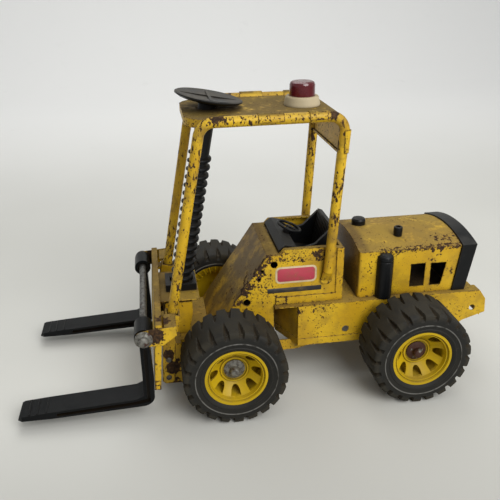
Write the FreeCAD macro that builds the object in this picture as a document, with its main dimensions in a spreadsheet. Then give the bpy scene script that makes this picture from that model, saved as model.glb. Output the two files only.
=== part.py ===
import FreeCAD, Part
import math
import os
import re
import Sketcher
from FreeCAD import Placement, Rotation, Vector

# Pressed-steel toy forklift. Millimetres; +Z up, the forks point along -Y, +X is the toy's left.
# The origin lies on the floor under the middle of the toy's bounding box.
# A leaning guide for the lift is built in a frame of its own: its z axis runs up the two front
# legs of the roll frame, and every piece that slides on them or turns beside them is placed on it.

DIMENSIONS = """
sheet               1.0     steel sheet thickness
play                0.3     gap between pieces of different moving groups
axle_height         52.5    wheel axles above the floor
front_axle_y        -36     front axle
rear_axle_y         155.5   rear axle
axle_rod            3.15    axle radius
axle_end            104.6    half length of an axle
wheel_middle        91      middle plane of a wheel from the centre line
tyre_radius         52.5    tread radius
tyre_half           26      half width of a tyre
bead_radius         30      tyre seat on the outer end of the rim
inner_bead          37      tyre seat on the flared inner end of the rim
lug_count           22      lugs round each shoulder
lug_depth           3.4     depth of the notches between lugs
rim_lip             31.4    outer lip radius of a rim
window_count        8       windows in a rim
rail_half           56      half width of the chassis over the rails
nose_half           46      half width of the chassis nose
neck_half           18      half width of the box's front wall where it stands furthest forward
rail_low            45.4    lower edge of the rails
hem_high            53.5    top of the hem along the rails
deck_height         93.3    top of the chassis deck
nose_height         60      top of the chassis nose
nose_front          -86     front face of the chassis nose
rail_front          38.7    front corners of the wide box of the chassis
neck_y              22      middle of the box's front wall
step_y              14      step from the nose up to the deck
rail_rear           252     rear end of the rails
hitch_y             236     hitch hole
hitch_z             72.8    hitch hole height
hitch_bore          3.4     hitch hole radius
mast_foot_y         -112.3  mast line where it meets the floor
mast_lean           10.76   lean of the mast from the vertical, degrees
tube_half           59.5    front legs of the roll frame from the centre line
rear_half           55.5    rear bends of the roll frame from the centre line
rear_foot_half      53.2    rear legs at their feet from the centre line
tube_radius         5.1     roll frame tube radius
roof_height         292     centre of the roof tubes
roof_top            293.4   top of the roof plate
rear_leg_top_y      80.5    rear leg at roof height
rear_leg_foot_y     69.4    rear leg at its foot
rear_leg_foot_z     118     foot of the rear leg
bend_radius         15      bend radius of the roll frame tube
screw_offset        11.5    lift screw behind the mast line
screw_radius        12.2    crest radius of the lift screw
screw_root          9.3     root radius of the lift screw
journal             5.6     lower journal of the lift screw
neck                6.2     journal of the lift screw in the roof
bush_radius         9       bushes of the lift screw
screw_pitch         8.8     thread pitch
thread_low          108     lower end of the thread on the mast frame
thread_high         256     upper end of the thread on the mast frame
knob_radius         33.7    lift knob radius
cab_half            47.5     half width of the cab tub
cab_front           -54     foot of the cab slope
cowl_y              6.7     top of the cab slope
cowl_z              150     cowl height
cab_rear            88      rear wall of the cab
steering_lean       22      lean of the steering axis from the vertical, degrees
hood_half           48.5     half width of the hood
hood_front          105     front of the hood
hood_rear_top       220     rear edge of the hood at its top
hood_rear_low       212     rear edge of the hood at the deck
hood_crown          153.4    crown of the hood
hood_arc            160    radius of the crowned hood top
plate_half          94      half width of the fork carriage plate
plate_low           34      bottom of the carriage plate
plate_high          108     top of the carriage plate
plate_tilt          0.07    backward lean of the carriage plate, mm per mm of height
rod_y               -122.6  fork rod
rod_z               95      fork rod height
rod_radius          3.75    fork rod radius
rod_end             103.6   half length of the fork rod
fork_middle         80      fork centre from the centre line
fork_width          27      fork width
hub_radius          9.2     fork hub radius
"""

DIMS = {row.split()[0]: float(row.split()[1]) for row in DIMENSIONS.strip().splitlines()}

doc = FreeCAD.newDocument("Forklift")
sheet = doc.addObject("Spreadsheet::Sheet", "Dims")
for line, row in enumerate(DIMENSIONS.strip().splitlines(), start=1):
    alias, number, meaning = row.split(None, 2)
    sheet.set(f"A{line}", alias)
    sheet.set(f"B{line}", number)
    sheet.set(f"C{line}", meaning)
    sheet.setAlias(f"B{line}", alias)
doc.recompute()

pieces = []


def bound(expression):
    """The expression with every dimension name written as a reference to the sheet."""
    return re.sub(r"[a-z_]+", lambda word: ("Dims." if word[0] in DIMS else "") + word[0],
                  str(expression))


def value(expression):
    return float(sheet.evalExpression(bound(expression)))


def bind(target, **sizes):
    for name, expression in sizes.items():
        target.setExpression(name, bound(expression))
    return target


def place(solid, position, axis=None, angle=0):
    """Put a solid at a position given by expressions, turned about an axis by degrees."""
    if axis:
        solid.Placement = Placement(Vector(), Rotation(Vector(*axis), angle))
    for letter, expression in zip("xyz", position):
        solid.setExpression("Placement.Base." + letter, bound(expression))
    return solid


def box(size, corner):
    """Block with its low corner at corner."""
    solid = doc.addObject("Part::Box", "Block")
    bind(solid, Length=size[0], Width=size[1], Height=size[2])
    return place(solid, corner)


def middle_box(width, depth, height, y, z):
    """Block astride the centre line."""
    return box((width, depth, height), (f"-({width}) / 2", y, z))


def rod(radius, length, start, axis=(0, 0, 1)):
    """Cylinder from start along the axis."""
    solid = doc.addObject("Part::Cylinder", "Rod")
    bind(solid, Radius=radius, Height=length)
    turned = Rotation(Vector(0, 0, 1), Vector(*axis))
    return place(solid, start, tuple(turned.Axis), math.degrees(turned.Angle))


def cross_rod(radius, half_length, y, z):
    """Cylinder across the toy, astride the centre line."""
    return rod(radius, f"2 * ({half_length})", (f"-({half_length})", y, z), (1, 0, 0))


def join(*solids):
    fused = doc.addObject("Part::MultiFuse", "Join")
    fused.Shapes = list(solids)
    return fused


def cut(base, *tools):
    result = doc.addObject("Part::Cut", "Cut")
    result.Base = base
    result.Tool = tools[0] if len(tools) == 1 else join(*tools)
    return result


def common(*solids):
    result = doc.addObject("Part::MultiCommon", "Overlap")
    result.Shapes = list(solids)
    return result


def group(solids):
    """Separate solids kept together as one piece, such as a set of rivets."""
    result = doc.addObject("Part::Compound", "Group")
    result.Links = list(solids)
    return result


def mirrored(solid):
    """The same solid on the other side of the centre line."""
    image = doc.addObject("Part::Mirroring", "Mirror")
    image.Source = solid
    image.Normal = Vector(1, 0, 0)
    return image


def lean(solid, behind=0):
    """Stand a solid on the mast frame, its own z axis a distance behind the front legs."""
    return place(solid, (0, f"mast_foot_y + ({behind}) * cos(mast_lean)",
                         f"-({behind}) * sin(mast_lean)"), (1, 0, 0), -value("mast_lean"))


def piece(label, solid):
    """Name a finished sub-part."""
    solid.Label = label
    pieces.append(solid)
    return solid


def new_body(name="Body"):
    return doc.addObject("PartDesign::Body", name)


def origin_item(body, role):
    return next(item for item in body.Origin.OriginFeatures if item.Role == role)


def sketch_on(body, role, offset=None, turn=0):
    sketch = body.newObject("Sketcher::SketchObject", "Sketch")
    sketch.AttachmentSupport = [(origin_item(body, role), "")]
    sketch.MapMode = "FlatFace"
    if turn:
        swing = Rotation(Vector(0, 1, 0), turn)
        sketch.AttachmentOffset = Placement(swing.multVec(Vector(0, 0, value(offset))), swing)
    elif offset:
        sketch.setExpression("AttachmentOffset.Base.z", bound(offset))
    return sketch


def outline(sketch, corners):
    """Closed polygon whose corners are pairs of expressions."""
    places = [Vector(value(u), value(v), 0) for u, v in corners]
    count = len(places)
    for i, start in enumerate(places):
        sketch.addGeometry(Part.LineSegment(start, places[(i + 1) % count]), False)
    for i in range(count):
        sketch.addConstraint(Sketcher.Constraint("Coincident", i, 2, (i + 1) % count, 1))
    for i, corner in enumerate(corners):
        for kind, expression in zip(("DistanceX", "DistanceY"), corner):
            rule = Sketcher.Constraint(kind, -1, 1, i, 1, value(expression))
            number = sketch.addConstraint(rule)
            sketch.setExpression(f"Constraints[{number}]", bound(expression))


def feature(body, kind, profile, **sizes):
    added = body.newObject("PartDesign::" + kind, kind)
    added.Profile = profile
    bind(added, **sizes)
    return added


def prism(role, corners, length, offset=None, symmetric=True):
    """Polygon on an origin plane, padded to both sides or along the plane's normal."""
    body = new_body("Prism")
    sketch = sketch_on(body, role, offset)
    outline(sketch, corners)
    pad = feature(body, "Pad", sketch, Length=length)
    pad.SideType = "Symmetric" if symmetric else "One side"
    doc.recompute()
    return body


def side_prism(corners, half_width):
    """Side view polygon (y, z) padded across the toy."""
    return prism("YZ_Plane", corners, f"2 * ({half_width})")


def revolved(corners):
    """Body of revolution about its own z axis from (radius, z) corners."""
    body = new_body("Turned")
    sketch = sketch_on(body, "XZ_Plane")
    outline(sketch, corners)
    turned = feature(body, "Revolution", sketch)
    turned.ReferenceAxis = (sketch, ["V_Axis"])
    turned.Angle = 360
    doc.recompute()
    return body


def pattern(body, features, count):
    """Repeat features evenly round the body's z axis."""
    spread = body.newObject("PartDesign::PolarPattern", "Pattern")
    spread.Originals = features
    spread.Axis = (origin_item(body, "Z_Axis"), [""])
    spread.Angle = 360
    bind(spread, Occurrences=count)
    body.Tip = spread
    doc.recompute()


def round_edges(body, radius, choose):
    """Round the edges of the body's tip that the test picks."""
    doc.recompute()
    sharp = body.Tip
    names = [f"Edge{i}" for i, edge in enumerate(sharp.Shape.Edges, start=1) if choose(edge)]
    rounded = body.newObject("PartDesign::Fillet", "Round")
    rounded.Base = (sharp, names)
    bind(rounded, Radius=radius)
    doc.recompute()


def is_along(edge, axis):
    ends = [vertex.Point for vertex in edge.Vertexes]
    if len(ends) < 2 or not isinstance(edge.Curve, Part.Line):
        return False
    run = ends[1] - ends[0]
    return abs(abs(run.dot(Vector(*axis))) - run.Length) < 1e-6


# --- chassis -------------------------------------------------------------------------------

def astride(half):
    """Closed plan outline from the (x, y) corners of its left half."""
    return half + [(f"-({x})", y) for x, y in reversed(half)]


def chassis_frame():
    """Open-bottomed folded frame: a low nose channel whose rails run on under a wide box."""
    def box_plan(grow, rear):
        return astride([(f"rail_half + {grow}", rear), (f"rail_half + {grow}", "rail_front"),
                        (f"neck_half + {grow}", f"neck_y - {grow}")])

    def body_of(plan_corners, side_corners):
        return common(prism("XY_Plane", plan_corners, 400), side_prism(side_corners, 70))

    side = [("rail_rear", 66), ("rail_rear - 1.5", 82.6), ("rail_rear - 9", "deck_height"),
            (18, "deck_height"), (18, "rail_low"), ("rail_rear - 42", "rail_low"),
            ("rail_rear - 26", 57.6)]
    below_deck = [("rail_rear + 9", "deck_height - sheet"), (10, "deck_height - sheet"),
                  (10, 20), ("rail_rear + 9", 20)]
    hem_side = [("rail_rear - 36", "rail_low"), ("rail_rear - 28", "hem_high"),
                (18, "hem_high"), (18, "rail_low")]
    wide_box = join(body_of(box_plan(0, "rail_rear"), side),
                    body_of(box_plan("sheet", "rail_rear"), hem_side))
    deck = middle_box("2 * (rail_half - 0.3)", 29, "sheet", "step_y", "deck_height - sheet")
    step = middle_box("2 * (nose_half - 0.3)", "1.5 * sheet", "deck_height - nose_height",
                      "step_y - sheet", "nose_height - sheet / 2")
    box_hollow = body_of(box_plan("-sheet", "rail_rear + 9"), below_deck)

    nose_side = [("nose_front", 38), ("nose_front", "nose_height"), ("step_y", "nose_height"),
                 ("step_y", 48), (80, 48), (60, 40), (40, 35), (12, 35), (0, 38)]
    below_nose = [("nose_front + sheet", 20), ("nose_front + sheet", "nose_height - sheet"),
                  (90, "nose_height - sheet"), (90, 20)]
    nose = cut(side_prism(nose_side, "nose_half"), side_prism(below_nose, "nose_half - sheet"))

    holes = [cross_rod("axle_rod + 0.05", 70, y, "axle_height")
             for y in ("front_axle_y", "rear_axle_y")]
    holes.append(cross_rod(3.75, 70, 91.5, 60.9))
    holes.append(cross_rod("hitch_bore", 70, "hitch_y", "hitch_z"))
    rear_cut = middle_box("2 * (rail_half - 14)", 60, 20, "rail_rear - 30", "deck_height - 10")
    return cut(join(cut(join(wide_box, deck), box_hollow, rear_cut), step, nose), *holes)


def rear_crossmember():
    """Folded plate that ties the rails together behind the engine cover."""
    corners = [(196, "deck_height - sheet"), ("rail_rear - 12", "deck_height - sheet"),
               ("rail_rear - 5", "deck_height - 9"), ("rail_rear - 5", 62),
               ("rail_rear - 6.2", 62), ("rail_rear - 6.2", "deck_height - 9.5"),
               ("rail_rear - 12.5", "deck_height - 2 * sheet"),
               (196, "deck_height - 2 * sheet")]
    hitch = cross_rod("hitch_bore + 4", 20, "hitch_y + 16", "hitch_z")
    return cut(side_prism(corners, "rail_half - sheet"), hitch)


def mast_base():
    """Crossmember on the nose with the raised box that carries the foot of the lift screw."""
    beam = middle_box("2 * 55.4", 16.4, 49, "nose_front - 16.4", 13)
    beam_hollow = middle_box("2 * 54.2", 14, 52, "nose_front - 15.2", 9)
    tower = side_prism([(-99, 62), (-99.6, 98), (-71, 98), (-71, 84), (-76, "nose_height"),
                        (-86, "nose_height"), (-86, 62)], 33)
    tower_hollow = side_prism([(-97.8, 61), (-98.4, 96.8), (-72.2, 96.8), (-72.2, 84),
                               (-77, 61)], 31.8)
    bore = lean(rod("bush_radius", 140, (0, 0, 0)), "screw_offset")
    return cut(join(beam, tower), beam_hollow, tower_hollow, bore)


def cab_tub():
    """Folded cab: sloping front, two side panels with a raised border, a rear wall."""
    shell = side_prism([("cab_front", "nose_height + 0.1"), ("cowl_y", "cowl_z"),
                        (20, "cowl_z"), (25, "cowl_z + 5.5"), (66, "cowl_z + 5.5"),
                        ("cab_rear", "cowl_z + 3.5"), ("cab_rear", "deck_height"),
                        ("step_y", "deck_height"), ("step_y", "nose_height + 0.1")], "cab_half")
    border = side_prism([(16, "deck_height"), ("cab_rear", "deck_height"),
                         ("cab_rear", "cowl_z + 3.5"), ("cab_rear - 7.5", "cowl_z + 4"),
                         ("cab_rear - 7.5", "deck_height + 8.5"),
                         (16, "deck_height + 8.5")], "cab_half + 1.3")
    hollow = side_prism([("cab_front + 1.5", "nose_height - 1"),
                         ("cowl_y + 0.6", "cowl_z - sheet"),
                         (20.6, "cowl_z - sheet"), (25.6, "cowl_z + 5.5 - sheet"),
                         (66, "cowl_z + 5.5 - sheet"),
                         ("cab_rear - sheet", "cowl_z + 3.4 - sheet"),
                         ("cab_rear - sheet", "nose_height - 1")], "cab_half - sheet")
    opening = middle_box("2 * 41.5", 65, 30, 19.5, 140)
    holes = [cross_rod(3.75, 60, y, z) for y, z in ((14.1, 139.7), (-14.9, 98.4))]
    holes += [cross_rod(1.6, 60, y, z) for y, z in ((1.6, 133.2), (-1.6, 123.9))]
    return cut(join(shell, border), hollow, opening, *holes)


def rounded_path(points, radius):
    """Wire through points with every inner corner turned as an arc."""
    edges, start = [], points[0]
    for before, corner, after in zip(points, points[1:], points[2:]):
        back, ahead = (before - corner).normalize(), (after - corner).normalize()
        half_angle = back.getAngle(ahead) / 2
        reach = radius / math.tan(half_angle)
        bisector = (back + ahead).normalize()
        centre = corner + bisector * (radius / math.sin(half_angle))
        first, last = corner + back * reach, corner + ahead * reach
        edges.append(Part.makeLine(start, first))
        edges.append(Part.Arc(first, centre - bisector * radius, last).toShape())
        start = last
    edges.append(Part.makeLine(start, points[-1]))
    return Part.Wire(edges)


def swept(path, radius, start, direction):
    """Round bar along a path."""
    ring = bind(doc.addObject("Part::Circle", "Ring"), Radius=radius)
    ring.Placement = Placement(start, Rotation(Vector(0, 0, 1), direction))
    bar = doc.addObject("Part::Sweep", "Bar")
    bar.Sections = [ring]
    bar.Spine = (path, [f"Edge{i}" for i in range(1, len(path.Shape.Edges) + 1)])
    bar.Solid = True
    return bar


def pressed_foot(end, bar_x, low_y, low_z, half_width):
    """Tube end pressed flat below a point, then a flat bar down to the rivets."""
    pressed = doc.addObject("Part::Loft", "Pressed")
    round_end = bind(doc.addObject("Part::Circle", "RoundEnd"), Radius="tube_radius")
    round_end.Placement = Placement(end, Rotation())
    flat_end = doc.addObject("Part::Ellipse", "FlatEnd")
    flat_end.MajorRadius, flat_end.MinorRadius = half_width, 1.1
    flat_end.Placement = Placement(Vector(bar_x, end.y - 1, end.z - 12), Rotation(90, 0, 0))
    pressed.Sections = [round_end, flat_end]
    pressed.Solid = True
    top_y, top_z = end.y - 1, end.z - 10
    bar = prism("YZ_Plane", [(top_y - half_width, top_z), (top_y + half_width, top_z),
                             (low_y + half_width, low_z + 3), (low_y + half_width - 3, low_z),
                             (low_y - half_width + 3, low_z), (low_y - half_width, low_z + 3)],
                2.2, bar_x)
    return [pressed, bar]


def roll_frame_path():
    """Corners of the left roll frame tube: front leg, roof rail and rear leg."""
    lean_rate = math.tan(math.radians(value("mast_lean")))
    roof, front_low, rear_low = value("roof_height"), 80, value("rear_leg_foot_z + 12")
    rear_rate = value("(rear_leg_top_y - rear_leg_foot_y) / (roof_height - rear_leg_foot_z)")
    return [Vector(value("tube_half"), value("mast_foot_y") + front_low * lean_rate, front_low),
            Vector(value("tube_half"), value("mast_foot_y") + roof * lean_rate, roof),
            Vector(value("rear_half"), value("rear_leg_top_y"), roof),
            Vector(value("rear_foot_half"), value("rear_leg_foot_y") + 12 * rear_rate,
                   rear_low)]


def roll_frame_bar(side, radius="tube_radius"):
    """Round bar along the whole roll frame path, solid."""
    points = roll_frame_path()
    path = doc.addObject("Part::Feature", "Path")
    path.Shape = rounded_path(points, value("bend_radius"))
    bar = swept(path, radius, points[0], points[1] - points[0])
    return bar if side > 0 else mirrored(bar)


def roll_frame_tube(side):
    """One bent tube with a flattened foot at each end."""
    points = roll_frame_path()
    tube = cut(roll_frame_bar(1), roll_frame_bar(1, "tube_radius - 1"))
    front_foot = pressed_foot(points[0], 56.5, -101.5, 15, 6.6)
    rear_foot = pressed_foot(points[-1], value("cab_half + 1.1"), value("rear_leg_foot_y"),
                             value("rear_leg_foot_z - 4"), 6)
    both = join(tube, *front_foot, *rear_foot)
    return both if side > 0 else mirrored(both)


def roof_plate():
    """Pressed roof between the tubes with tabs wrapped over them and a rear drop panel."""
    front_y, rear_y = -70, 73
    top = astride([("rear_half - 2", 75), ("tube_half - 2.5", -47), (51, -58), (43, -66),
                   (34, front_y)])
    within = astride([("rear_half - 2", 77), ("tube_half - 2.5", -45.4), (50, -57.2),
                      (42.3, -65), (33.7, front_y + 1.1)])
    plate = prism("XY_Plane", top, "sheet", "roof_top - sheet", symmetric=False)
    lip = cut(prism("XY_Plane", top, 8, "roof_top - 8", symmetric=False),
              prism("XY_Plane", within, 9, "roof_top - 8.5", symmetric=False),
              middle_box(140, 140, 9, -48, "roof_top - 8.5"))
    drop = prism("YZ_Plane", [(rear_y, "roof_top"), (79.5, "roof_top - 3"),
                              (81, "roof_top - 9"), (79, 254), (77.8, 254),
                              (79.8, "roof_top - 9"), (78.4, "roof_top - 4"),
                              (rear_y, "roof_top - sheet")], "2 * (rear_half - tube_radius)")
    hem = middle_box("2 * (rear_half - tube_radius)", 3, 2.4, 76.6, 254)
    front_top, rear_top, rear_low = roll_frame_path()[1:]
    tabs = []
    for corner, end, reach, length in ((front_top, rear_top, 53, 24), (front_top, rear_top, 101, 20),
                                       (rear_top, rear_low, 13, 22)):
        along = (end - corner).normalize()
        start = corner + along * reach
        wrap, bore = [rod(f"tube_radius + {extra}", length, tuple(start), tuple(along))
                      for extra in (1.1, 0.1)]
        if end is rear_low:
            open_side = [box((14, 10, 30), (start.x - 7, start.y - 11, 250))]
        else:
            open_side = [box((16, 28, 8), (start.x - 8, start.y - 2, "roof_height - 9.5")),
                         box((10, 28, 12), (start.x - 10, start.y - 2, "roof_top - sheet - 12"))]
        tab = cut(wrap, bore, *open_side)
        tabs += [tab, mirrored(tab)]
    tube_room = [roll_frame_bar(side) for side in (-1, 1)]
    hole = lean(rod("bush_radius", 330, (0, 0, 0)), "screw_offset")
    return cut(join(cut(join(plate, drop, lip, hem), *tube_room), *tabs), hole)


def tube_rivets():
    """Round-headed rivets through the flattened feet of the roll frame."""
    rivets = []
    for x, y, z in ((57.6, -101.2, 22), (57.6, -100.2, 44)):
        for side in (1, -1):
            head = revolved([(0, 0), (3, 0), (2.8, 0.9), (1.8, 1.7), (0, 2)])
            rivets.append(place(head, (f"{side} * ({x})", y, z), (0, 1, 0), 90 * side))
    return group(rivets)


# --- cab fittings --------------------------------------------------------------------------

def steering_line(solid, along):
    """Put a solid on the steering axis, a distance up it from the top of the dash."""
    lean_back = math.radians(value("steering_lean"))
    return place(solid, (0, f"34.2 + {along * math.sin(lean_back)}",
                         f"148 + {along * math.cos(lean_back)}"), (1, 0, 0),
                 -value("steering_lean"))


def cab_moulding():
    """Black moulding in the cab: dash, floor well and bucket seat with a ribbed back."""
    dash = side_prism([(20, 146), (20, 153), (27, 158), (39, 155), (43, 140), (43, 112),
                       (20, 112)], 41)
    floor = cut(middle_box(82, 62, "112 - deck_height", 21, "deck_height"),
                middle_box(77, 57, "109 - deck_height", 23.5, "deck_height"))
    column, socket = [steering_line(rod(radius, length, (0, 0, 0)), start)
                      for radius, length, start in ((5, 12, 0), (2.1, 60, -40))]
    cushion = side_prism([(52, 112), (50, 131), (72, 127), (83, 127), (83, 112)], 26)
    back = side_prism([(71, 112), (75, 140), (78.5, 171), (83.6, 169), (84, 112)], 26)
    ribs = [prism("YZ_Plane", [(70.4, 132), (77.4, 168), (79, 168), (75, 132)], 2.2,
                  f"-20 + {5 * i}") for i in range(9)]
    bolster = [prism("YZ_Plane", [(44, 112), (44, 147), (62, 152), (78.5, 168), (84, 166),
                                  (84, 112)], 4, 28 * side) for side in (-1, 1)]
    return cut(join(dash, floor, column, cushion, back, *ribs, *bolster), socket)


def steering_wheel():
    """Ring, three spokes, hub and the shaft that turns in the dash; its axis is local z."""
    ring = doc.addObject("Part::Torus", "Ring")
    ring.Radius1, ring.Radius2 = 13.1, 1.45
    hub = rod(3.2, 4, (0, 0, -3))
    shaft = rod(2.0, 30, (0, 0, -31))
    spokes = []
    for k in range(3):
        spoke = doc.addObject("Part::Cylinder", "Spoke")
        spoke.Radius, spoke.Height = 1.1, 13
        turn = Rotation(Vector(0, 0, 1), 90 + 120 * k) * Rotation(Vector(0, 1, 0), 94)
        spoke.Placement = Placement(Vector(0, 0, -0.8), turn)
        spokes.append(spoke)
    wheel = join(ring, hub, shaft, *spokes)
    return steering_line(wheel, 15.2)


# --- engine cover --------------------------------------------------------------------------

def crowned(corners, half_width, extra, corner_radius=None):
    """Side view prism under the crowned top; extra grows (or shrinks) the crown radius."""
    sides = side_prism(corners, half_width)
    if corner_radius:
        front = min(value(y) for y, z in corners)
        round_edges(sides, corner_radius, lambda edge: is_along(edge, (0, 0, 1))
                    and edge.BoundBox.YMax < front + 1)
    dome = rod(f"hood_arc + {extra}", 200, (0, 60, "hood_crown - hood_arc"), (0, 1, 0))
    return common(sides, dome)


def hood():
    """Pressed cover with crowned top, rounded front corners and two windows a side."""
    shell = crowned([("hood_front", "deck_height"), ("hood_front", 170),
                     ("hood_rear_top + 1.3", 170), ("hood_rear_low", "deck_height")],
                    "hood_half", 0, 3.4)
    cavity = crowned([("hood_front + sheet", "deck_height - 5"), ("hood_front + sheet", 170),
                      ("hood_rear_top + 9", 170), ("hood_rear_low + 9", "deck_height - 5")],
                     "hood_half - sheet", -1, 2.4)
    windows = [side_prism([(163, 101.3), (163, 128.4), (179.5, 128.4), (179.5, 101.3)], 60),
               side_prism([(186, 101.3), (185.5, 127.8), (203.4, 127.8), (198.7, 101.3)], 60)]
    holes = [rod(2.4, 20, (x, y, 145)) for x, y in ((-15, 123.5), (22, 156))]
    return cut(shell, cavity, *windows, *holes)


def radiator_grille():
    """Black surround on the rear of the hood with a louvred face set back in it."""
    outer = crowned([("hood_rear_low + 0.1", "deck_height"), ("hood_rear_top + 1.1", 165),
                     ("hood_rear_top + 15", 165), ("hood_rear_top + 15", 146),
                     ("hood_rear_low + 14.5", "deck_height")], "hood_half + 2", 1.6)
    inset = crowned([("hood_rear_low + 5", "deck_height + 6"), ("hood_rear_top + 8", 165),
                     ("hood_rear_top + 25", 165), ("hood_rear_low + 25", "deck_height + 6")],
                    "hood_half - 5", -7)
    rear_hollow = crowned([("hood_rear_low - 3", "deck_height - 1"), ("hood_rear_top", 165),
                           ("hood_rear_top + 3", 165), ("hood_rear_low + 3", "deck_height - 1")],
                          "hood_half - sheet - 1", -3)
    louvres = []
    for k in range(7):
        z = 101.5 + 6.6 * k
        y = 217.5 + 0.12 * (z - 93)
        louvres.append(side_prism([(y, z), (y + 6.5, z - 1.6), (y + 6.5, z), (y, z + 1.6)],
                                  45.4))
    return join(cut(outer, inset, rear_hollow), *louvres)


def air_cleaner():
    """Half-round canister on the side of the hood with a domed top."""
    canister = revolved([(0, 0), (9, 0), (9, 41.5), (8.4, 42.2), (8.4, 43), (9, 43.7),
                         (8.3, 47.5), (5.2, 50), (0, 50.6)])
    place(canister, ("hood_half", 133.5, "deck_height + 0.1"))
    return cut(canister, box((12, 30, 60), ("hood_half - 12", 118, "deck_height")))


def on_hood(solid, x, y, sink):
    """Stand a plug on the crowned hood, its base shaped to it, with a stem through its hole."""
    dome = rod("hood_arc", 40, (0, y - 20, "hood_crown - hood_arc"), (0, 1, 0))
    stem = rod(2.3, 12, (x, y, f"hood_crown - {sink} - 7"))
    return join(cut(place(solid, (x, y, f"hood_crown - {sink}")), dome), stem)


def filler_cap():
    cap = revolved([(0, 0), (7.6, 0), (7.8, 6.2), (6.6, 8.2), (4, 8.8), (0, 9)])
    return on_hood(cap, -15, 123.5, 1.4)


def exhaust_stub():
    stub = cut(revolved([(0, 0), (4.4, 0), (4.9, 6.9), (4.7, 10.3), (4, 11), (0, 11)]),
               rod(2.6, 5, (0, 0, 7)))
    return on_hood(stub, 22, 156, 2.6)


# --- roof fittings -------------------------------------------------------------------------

def beacon_base():
    base = revolved([(0, 0), (18, 0), (18.2, 1.2), (16.7, 8.4), (15.8, 9.4), (13, 9.4),
                     (13, 7), (0, 7)])
    return place(base, (2.5, 50.5, "roof_top"))


def beacon_lens():
    lens = revolved([(0, 0), (12.9, 0), (12.7, 13), (11.9, 15.2), (10.3, 16.2), (0, 16.6)])
    return place(lens, (2.5, 50.5, "roof_top + 7"))


# --- running gear --------------------------------------------------------------------------

def axle(y):
    return cross_rod("axle_rod", "axle_end", y, "axle_height")


def rod_caps(radius, flange, half_length, spots):
    """Sheet caps pressed on both ends of each rod: a flange and a dome over the rod's end."""
    caps = []
    for y, z in spots:
        for side in (1, -1):
            cap = revolved([(radius, 0), (flange, 0), (flange, 1.1), (f"{flange} - 2.6", 2),
                            (5.6, 2.4), (5, 3.2), (4.9, 6.4), (4, 8.1), (2, 8.8), (0, 8.9),
                            (0, 7.4), (radius, 7.4)])
            caps.append(place(cap, (f"{side} * ({half_length} - 7.4)", y, z), (0, 1, 0),
                              90 * side))
    return group(caps)


def wheel_place(solid, side, y):
    """Stand a wheel piece, turned on local z, on its axle with its face outboard."""
    return place(solid, (f"{side} * wheel_middle", y, "axle_height"), (0, 1, 0), 90 * side)


def tyre(side, y):
    """Soft tyre: a C section on the rim with alternating notched shoulders."""
    outer = [("tyre_radius", "tyre_half - 2"), (51.2, "tyre_half - 0.6"), (46, "tyre_half"),
             ("bead_radius + 3", 24.8), ("rim_lip + 0.1", 22.6), ("bead_radius", 22.6),
             ("bead_radius", 18),
             ("bead_radius + 2.6", 19), (38, 21.5), (46.5, 20), (48, 12)]
    inner = [(48, -12), (46.5, -20), ("inner_bead + 3", -20.5), ("inner_bead", -19),
             ("inner_bead", -23.4), ("inner_bead + 2", -24.8), (46, "-tyre_half"),
             (51.2, "0.6 - tyre_half"), ("tyre_radius", "2 - tyre_half")]
    body = revolved(outer + inner)
    notches = []
    for flip, turn in ((1, 0), (-1, 180 / value("lug_count"))):
        sketch = sketch_on(body, "XZ_Plane", "tyre_radius - lug_depth", turn or 1e-9)
        outline(sketch, [(-1.2, 2 * flip), (1.6, 2 * flip), (4.6, 16 * flip),
                         (4.6, 27 * flip), (-2.6, 27 * flip), (-2.2, 16 * flip)])
        notch = feature(body, "Pocket", sketch, Length="lug_depth + 2")
        notch.Reversed = True
        notches.append(notch)
    pattern(body, notches, "lug_count")
    return wheel_place(body, side, y)


def rim(side, y):
    """Moulded rim: beaded lip, dished face with windows, web behind it, ribbed inner flare."""
    body = revolved([("axle_rod + 0.06", -21), (6.6, -21), (6.6, -4.2), (27.4, -4.2),
                     (27.4, -18), (35.6, -23.2), (35.6, -24.4), ("inner_bead", -24.4),
                     ("inner_bead", -19.4), (32, -12), ("bead_radius", -9),
                     ("bead_radius", 22.6), ("rim_lip", 23), ("rim_lip", 23.9), (28.8, 24),
                     (28.2, 21.4), (27.4, 21.2), (27.2, 22), (26.4, 22), (25.9, 17.6),
                     (24.9, 16.4), (14.8, 6.6), (14, 8), (12.8, 8), (12.2, 6),
                     ("axle_rod + 0.06", 6)])
    sketch = sketch_on(body, "XY_Plane", "0.5")
    outline(sketch, [(16.8, 0), (17.2, -1.7), (18.6, -3.2), (20.8, -4.3), (25.1, -5.2),
                     (25.8, 0), (25.1, 5.2), (20.8, 4.3), (18.6, 3.2), (17.2, 1.7)])
    window = feature(body, "Pocket", sketch, Length=18)
    window.Reversed = True
    pattern(body, [window], "window_count")
    rib_sketch = sketch_on(body, "XZ_Plane")
    outline(rib_sketch, [(28.4, -15), (26.2, -16.5), (26.2, -20.4), (33.4, -24.4),
                         (36.4, -24.4), (36.4, -21)])
    rib = feature(body, "Pad", rib_sketch, Length=1.5)
    rib.SideType = "Symmetric"
    pattern(body, [rib], 30)
    behind_dish = revolved([(8.2, -2.6), (27, -2.6), (27, 14), (24.6, 13.6), (14.4, 3.8),
                            (8.2, 3.2)])
    return wheel_place(cut(body, behind_dish), side, y)


# --- lift ----------------------------------------------------------------------------------

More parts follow.
